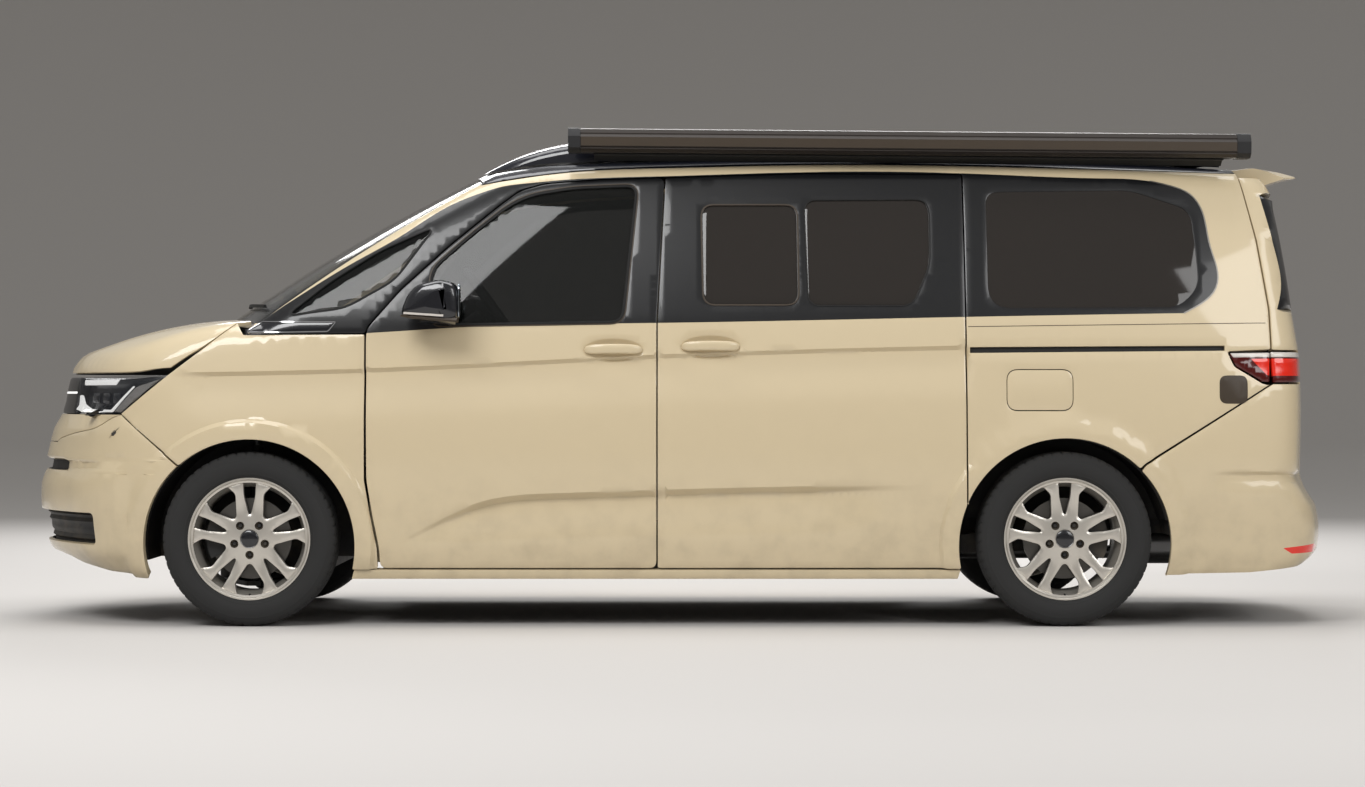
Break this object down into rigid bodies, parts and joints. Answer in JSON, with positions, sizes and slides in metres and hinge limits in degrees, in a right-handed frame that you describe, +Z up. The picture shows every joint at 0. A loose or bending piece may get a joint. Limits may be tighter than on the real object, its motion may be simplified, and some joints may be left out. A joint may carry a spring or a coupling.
{
  "type": "camper van",
  "caption": "Camper van with a pop-up roof, side awning cassette, sliding doors, swinging front doors, tailgate and alloy wheels on steered front axle",
  "frame": {"origin": "on the ground, under the middle of the vehicle's length and width", "axes": "+X rearwards along the vehicle, +Y to its right, +Z up"},
  "size_m": [5.1738, 2.252, 1.95],
  "materials": {
    "body_paint": "two-coat solid paint under clear lacquer",
    "roof_paint": "dark lacquered laminate",
    "side_glass": "tinted toughened glass",
    "screen_glass": "laminated glass",
    "lamp_lens": "clear polycarbonate",
    "red_lens": "red acrylic",
    "black_gloss": "gloss black moulding",
    "black_plastic": "grained moulding",
    "trim_plastic": "soft-touch moulding",
    "dark_anodised": "dark anodised extrusion",
    "underseal": "seam-sealed floor",
    "seat_fabric": "woven upholstery",
    "furniture_board": "laminated board",
    "cast_alloy": "sand cast",
    "chassis_steel": "black coated",
    "bright_steel": "ground",
    "tyre_rubber": "moulded tread",
    "rim_alloy": "silver lacquered casting",
    "disc_iron": "turned disc"
  },
  "bodies": {
    "body": {"left_side_frame": "body_paint", "right_side_frame": "body_paint", "left_sliding_door": "body_paint", "right_sliding_door": "body_paint", "front_wings": "body_paint", "front_bumper": "body_paint", "rear_bumper": "body_paint", "roof_frame": "body_paint", "side_windows": "side_glass", "windscreen": "screen_glass", "awning": "dark_anodised", "headlamps": "lamp_lens", "tail_lamps": "red_lens", "front_grille": "black_plastic", "floor_pan": "underseal", "wheelhouses": "black_plastic", "firewall": "black_plastic", "dashboard": "trim_plastic", "front_seats": "seat_fabric", "rear_bench": "seat_fabric", "kitchen_unit": "furniture_board", "engine": "cast_alloy", "front_subframe": "chassis_steel", "strut_rods": "bright_steel", "rear_axle": "chassis_steel", "exhaust": "bright_steel", "fuel_tank": "black_plastic"},
    "left_door": {"left_front_door": "body_paint", "left_door_window": "side_glass", "left_mirror": "black_gloss"},
    "right_door": {"right_front_door": "body_paint", "right_door_window": "side_glass", "right_mirror": "black_gloss"},
    "tailgate": {"tailgate": "body_paint", "rear_window": "side_glass", "tailgate_lamps": "red_lens"},
    "bonnet": {"bonnet": "body_paint"},
    "pop_roof": {"pop_roof": "roof_paint"},
    "steering_wheel": {"steering_wheel": "trim_plastic"},
    "left_knuckle": {"left_knuckle": "chassis_steel"},
    "right_knuckle": {"right_knuckle": "chassis_steel"},
    "front_left_wheel": {"front_left_tyre": "tyre_rubber", "front_left_rim": "rim_alloy", "front_left_disc": "disc_iron"},
    "front_right_wheel": {"front_right_tyre": "tyre_rubber", "front_right_rim": "rim_alloy", "front_right_disc": "disc_iron"},
    "rear_left_wheel": {"rear_left_tyre": "tyre_rubber", "rear_left_rim": "rim_alloy", "rear_left_disc": "disc_iron"},
    "rear_right_wheel": {"rear_right_tyre": "tyre_rubber", "rear_right_rim": "rim_alloy", "rear_right_disc": "disc_iron"}
  },
  "joints": [
    {"name": "steer_left", "type": "hinge", "parent": "body", "child": "left_knuckle", "pos_m": [-1.6365, -0.765, 0.185], "axis": [0, 0.1681, 0.9858], "range_deg": [-37, 37]},
    {"name": "steer_right", "type": "hinge", "parent": "body", "child": "right_knuckle", "pos_m": [-1.6365, 0.765, 0.185], "axis": [0, -0.1681, 0.9858], "range_deg": [-38, 38]},
    {"name": "steering_wheel_turn", "type": "hinge", "parent": "body", "child": "steering_wheel", "pos_m": [-0.73, -0.42, 1.233], "axis": [0.809, 0, 0.5878], "range_deg": [-520, 520]},
    {"name": "front_left_spin", "type": "hinge", "parent": "left_knuckle", "child": "front_left_wheel", "pos_m": [-1.6365, -0.835, 0.335], "axis": [0, 1, 0], "continuous": true},
    {"name": "front_right_spin", "type": "hinge", "parent": "right_knuckle", "child": "front_right_wheel", "pos_m": [-1.6365, 0.835, 0.335], "axis": [0, 1, 0], "continuous": true},
    {"name": "rear_left_spin", "type": "hinge", "parent": "body", "child": "rear_left_wheel", "pos_m": [1.4875, -0.835, 0.335], "axis": [0, 1, 0], "continuous": true},
    {"name": "rear_right_spin", "type": "hinge", "parent": "body", "child": "rear_right_wheel", "pos_m": [1.4875, 0.835, 0.335], "axis": [0, 1, 0], "continuous": true},
    {"name": "left_door_swing", "type": "hinge", "parent": "body", "child": "left_door", "pos_m": [-1.184, -0.966, 0.9], "axis": [0, 0, -1], "range_deg": [0, 65]},
    {"name": "right_door_swing", "type": "hinge", "parent": "body", "child": "right_door", "pos_m": [-1.184, 0.966, 0.9], "axis": [0, 0, 1], "range_deg": [0, 65]},
    {"name": "tailgate_lift", "type": "hinge", "parent": "body", "child": "tailgate", "pos_m": [2.2, 0, 1.797], "axis": [0, -1, 0], "range_deg": [0, 85]},
    {"name": "bonnet_lift", "type": "hinge", "parent": "body", "child": "bonnet", "pos_m": [-1.69, 0, 1.196], "axis": [0, 1, 0], "range_deg": [0, 50]},
    {"name": "roof_lift", "type": "hinge", "parent": "body", "child": "pop_roof", "pos_m": [2.14, 0, 1.846], "axis": [0, 1, 0], "range_deg": [0, 20]}
  ],
  "couplings": [
    {"joint": "steer_right", "follows": "steer_left", "ratio": 1},
    {"joint": "steering_wheel_turn", "follows": "steer_left", "ratio": 14}
  ]
}
